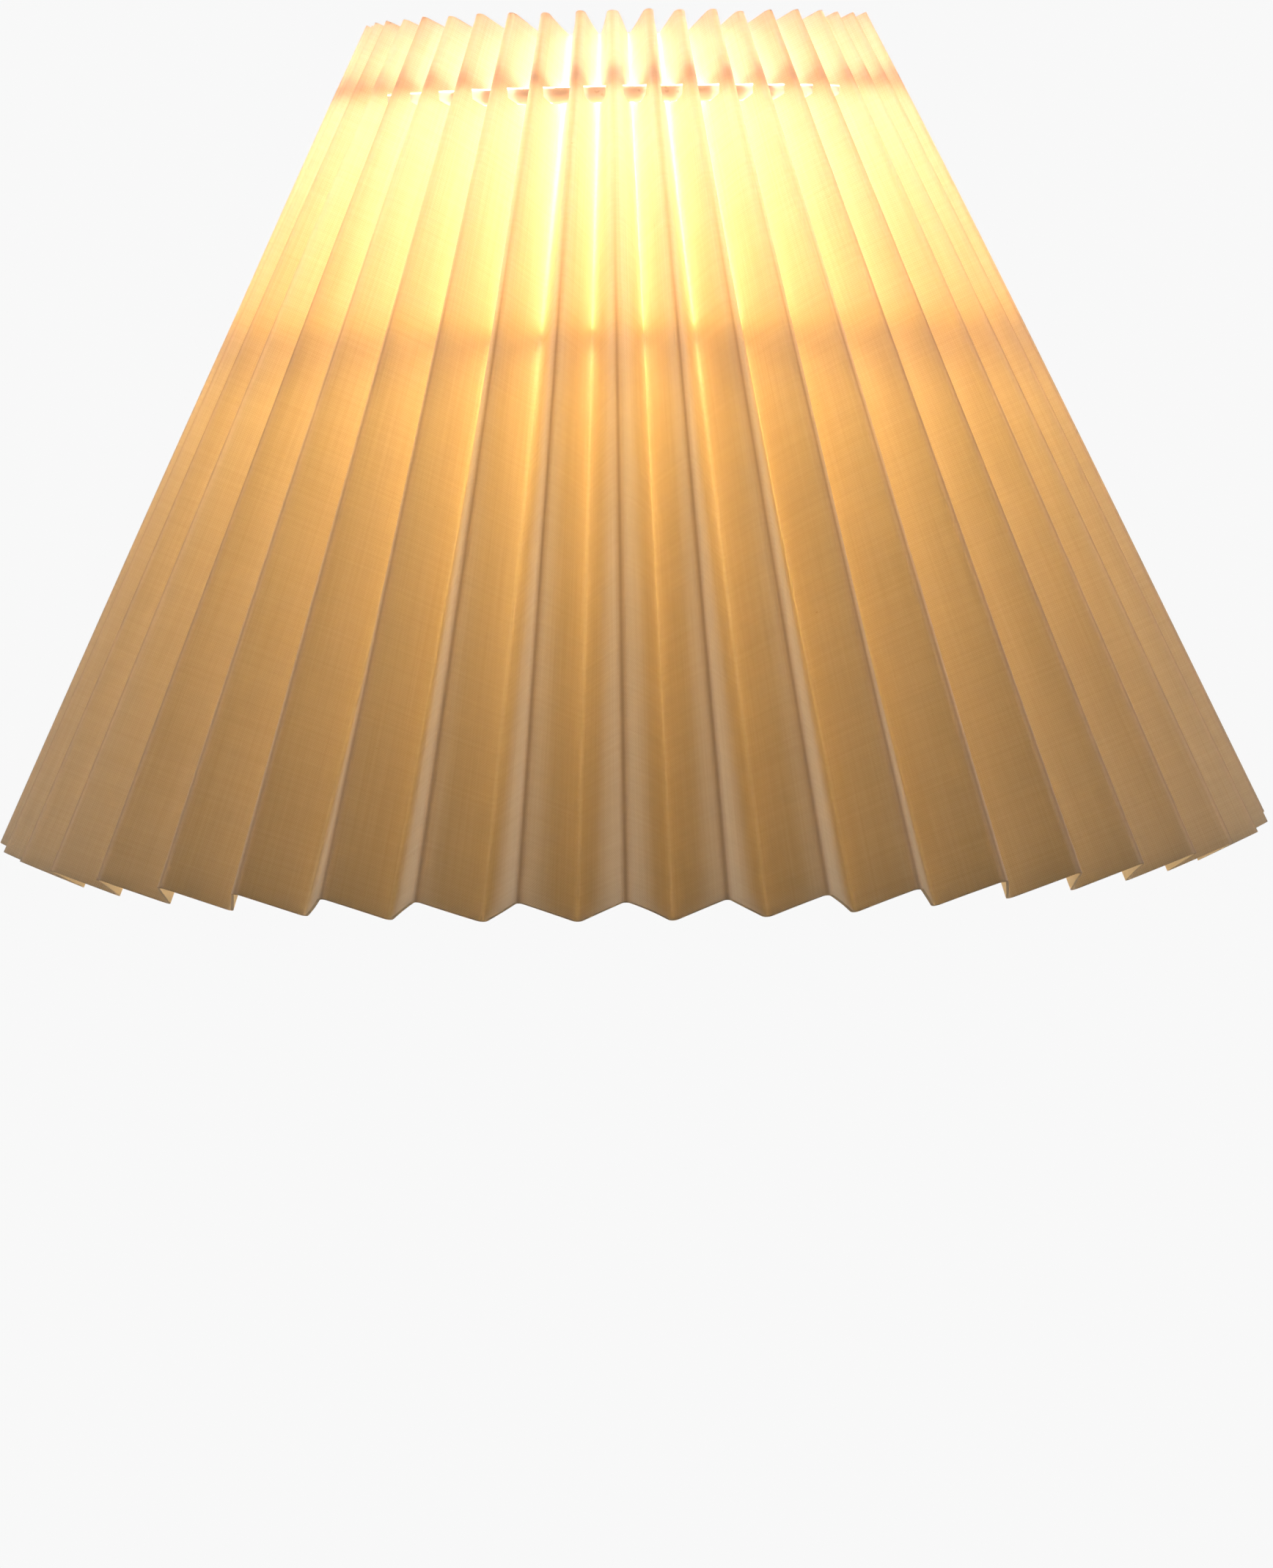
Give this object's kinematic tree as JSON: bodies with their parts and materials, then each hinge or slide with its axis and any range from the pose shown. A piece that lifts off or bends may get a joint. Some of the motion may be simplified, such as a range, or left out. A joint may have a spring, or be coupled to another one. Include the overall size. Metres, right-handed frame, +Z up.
{
  "type": "pleated lamp shade",
  "caption": "Conical lamp shade: an accordion-pleated cloth cover held by a wire ring in its folds, resting on a wire carrier whose arms reach a flat ring that sits on a lamp holder.",
  "frame": {"origin": "on the shade's axis, in the plane of the fitter ring's underside, where the shade sits on the shoulder of a lamp holder", "axes": "+Z up along the axis, from the wide hem to the narrow top; -Y is the front and +X the right; the glued seam of the cover is at the back"},
  "size_m": [0.3006, 0.3006, 0.1973],
  "materials": {
    "cloth": "matt plain-weave cotton on a translucent backing, raw edges",
    "wire": "off-white powder coat on steel"
  },
  "bodies": {
    "carrier": {"carrier_ring": "wire", "fitter_ring": "wire", "carrier_arm_1": "wire", "carrier_arm_2": "wire", "carrier_arm_3": "wire"},
    "cover": {"pleated_cover": "cloth", "seam_lap": "cloth", "top_ring": "wire"}
  },
  "joints": [
    {"name": "cover_lift", "type": "slide", "parent": "carrier", "child": "cover", "axis": [0, 0, 1], "range_m": [0, 0.13]}
  ]
}
